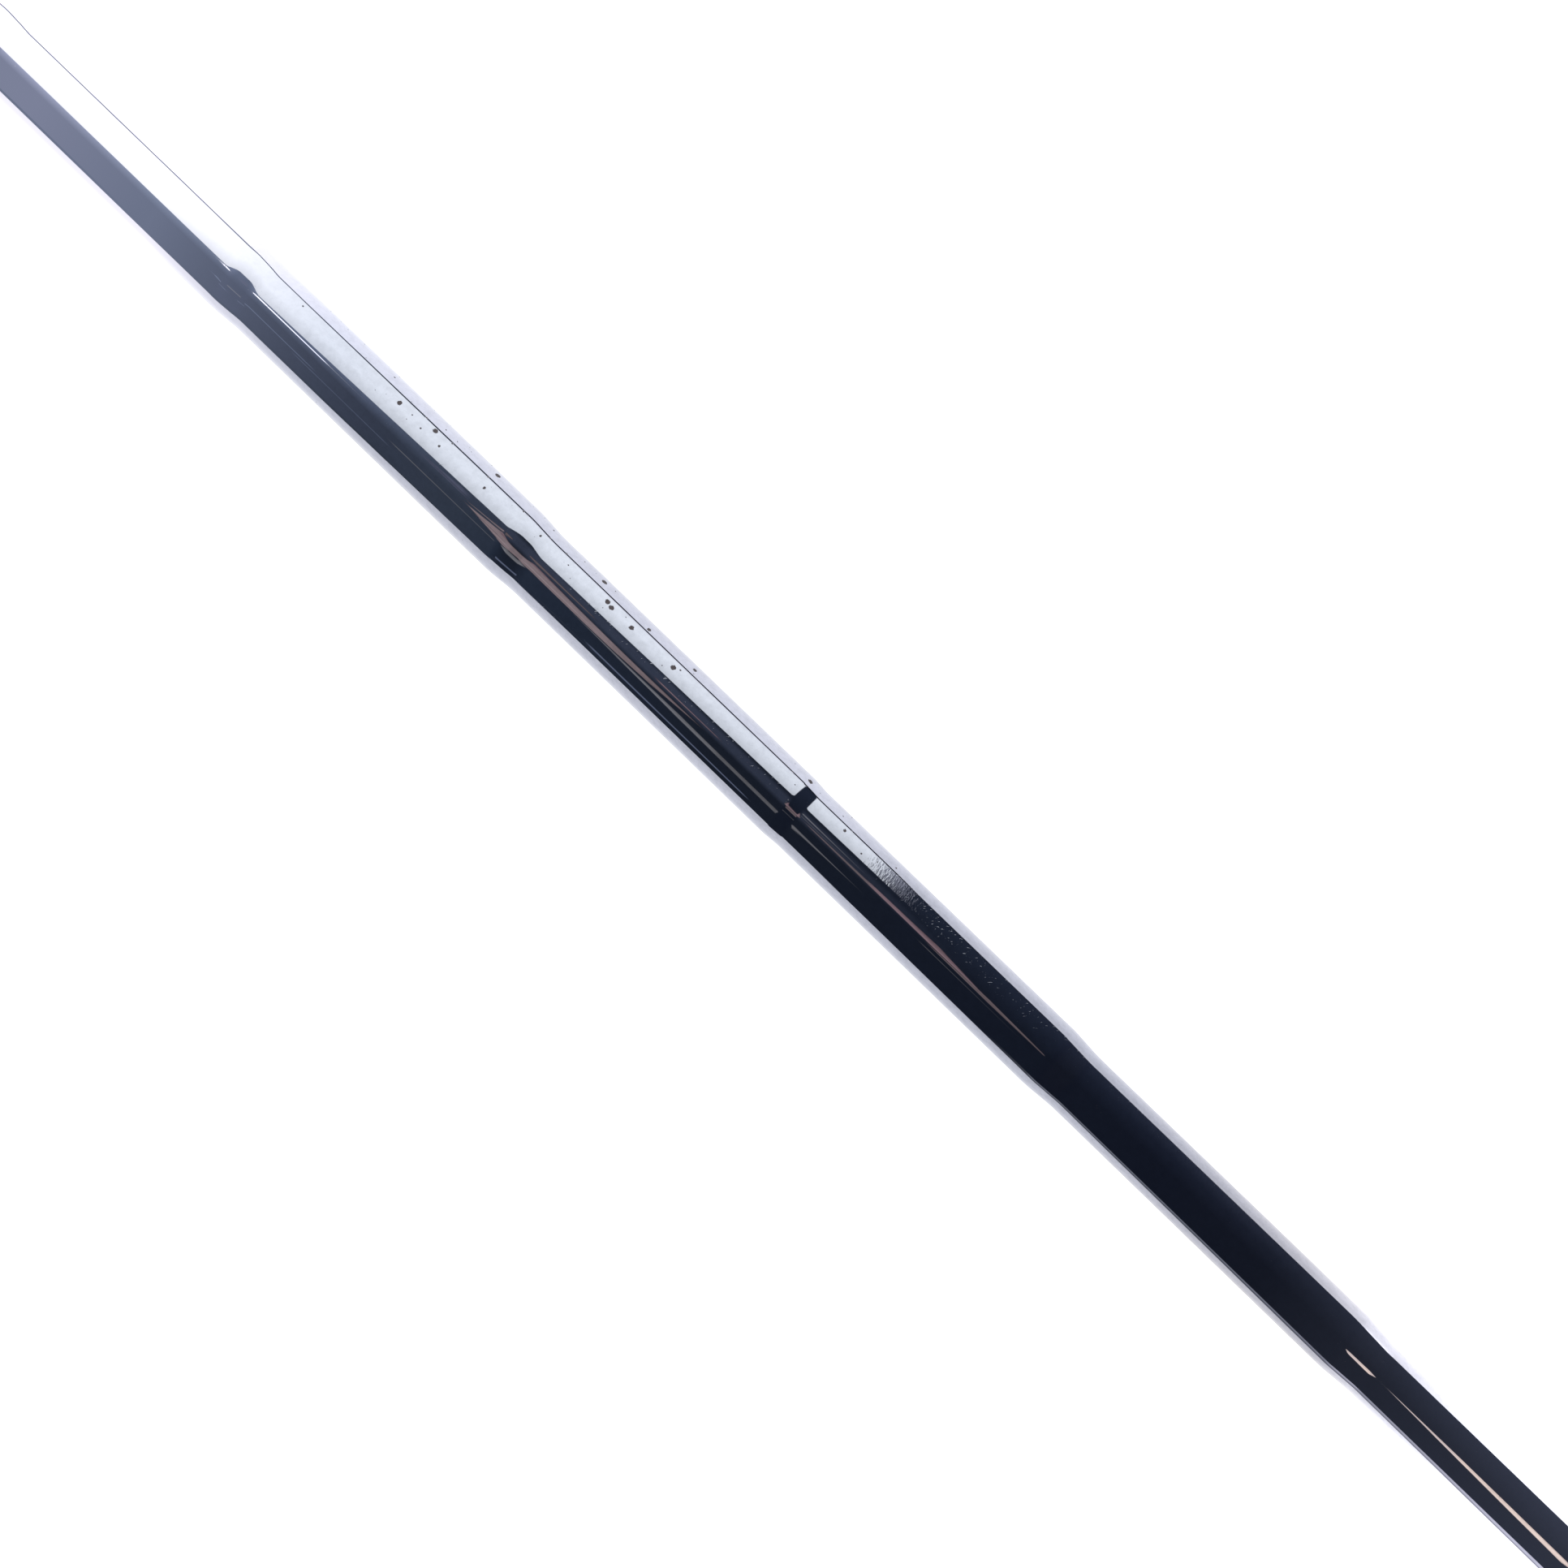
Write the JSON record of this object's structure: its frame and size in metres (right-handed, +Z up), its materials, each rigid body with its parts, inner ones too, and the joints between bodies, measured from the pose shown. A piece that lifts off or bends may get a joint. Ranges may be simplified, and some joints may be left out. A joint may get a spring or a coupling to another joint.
{
  "type": "golf iron",
  "caption": "Cavity-back golf iron lying on its back: chrome step-tapered steel shaft, slip-on rubber grip, ferrule and cast head with a scored face.",
  "frame": {"origin": "centre of the footprint, on the surface that the club lies on", "axes": "+X along the shaft from the grip to the head, +Z up with the club lying on its back and its face up"},
  "size_m": [0.9717, 0.104, 0.0291],
  "materials": {
    "shaft_chrome": "polished chrome plate with rust pits, specks and fine scratches",
    "grip_rubber": "matt black rubber with a fine moulded pattern",
    "cap_rubber": "smooth hard black rubber",
    "paper_tape": "creped paper tape",
    "ferrule_plastic": "polished black plastic",
    "trim_plastic": "polished off-white plastic",
    "epoxy": "cured amber adhesive",
    "plug_brass": "turned brass",
    "head_steel": "satin cast stainless steel, lightly worn",
    "face_steel": "fine-blasted steel with cut scorelines",
    "damper_rubber": "smooth elastomer",
    "badge_aluminium": "bare brushed aluminium",
    "weight_metal": "ground heavy-metal plug"
  },
  "bodies": {
    "root": {"grip_cap": "cap_rubber", "grip": "grip_rubber", "grip_tape": "paper_tape", "shaft": "shaft_chrome", "ferrule": "ferrule_plastic", "ferrule_rings": "trim_plastic", "hosel_epoxy": "epoxy", "tip_weight": "plug_brass", "head_body": "head_steel", "face_insert": "face_steel", "cavity_damper": "damper_rubber", "badge_tape": "paper_tape", "badge": "badge_aluminium", "toe_weight": "weight_metal"}
  },
  "joints": []
}
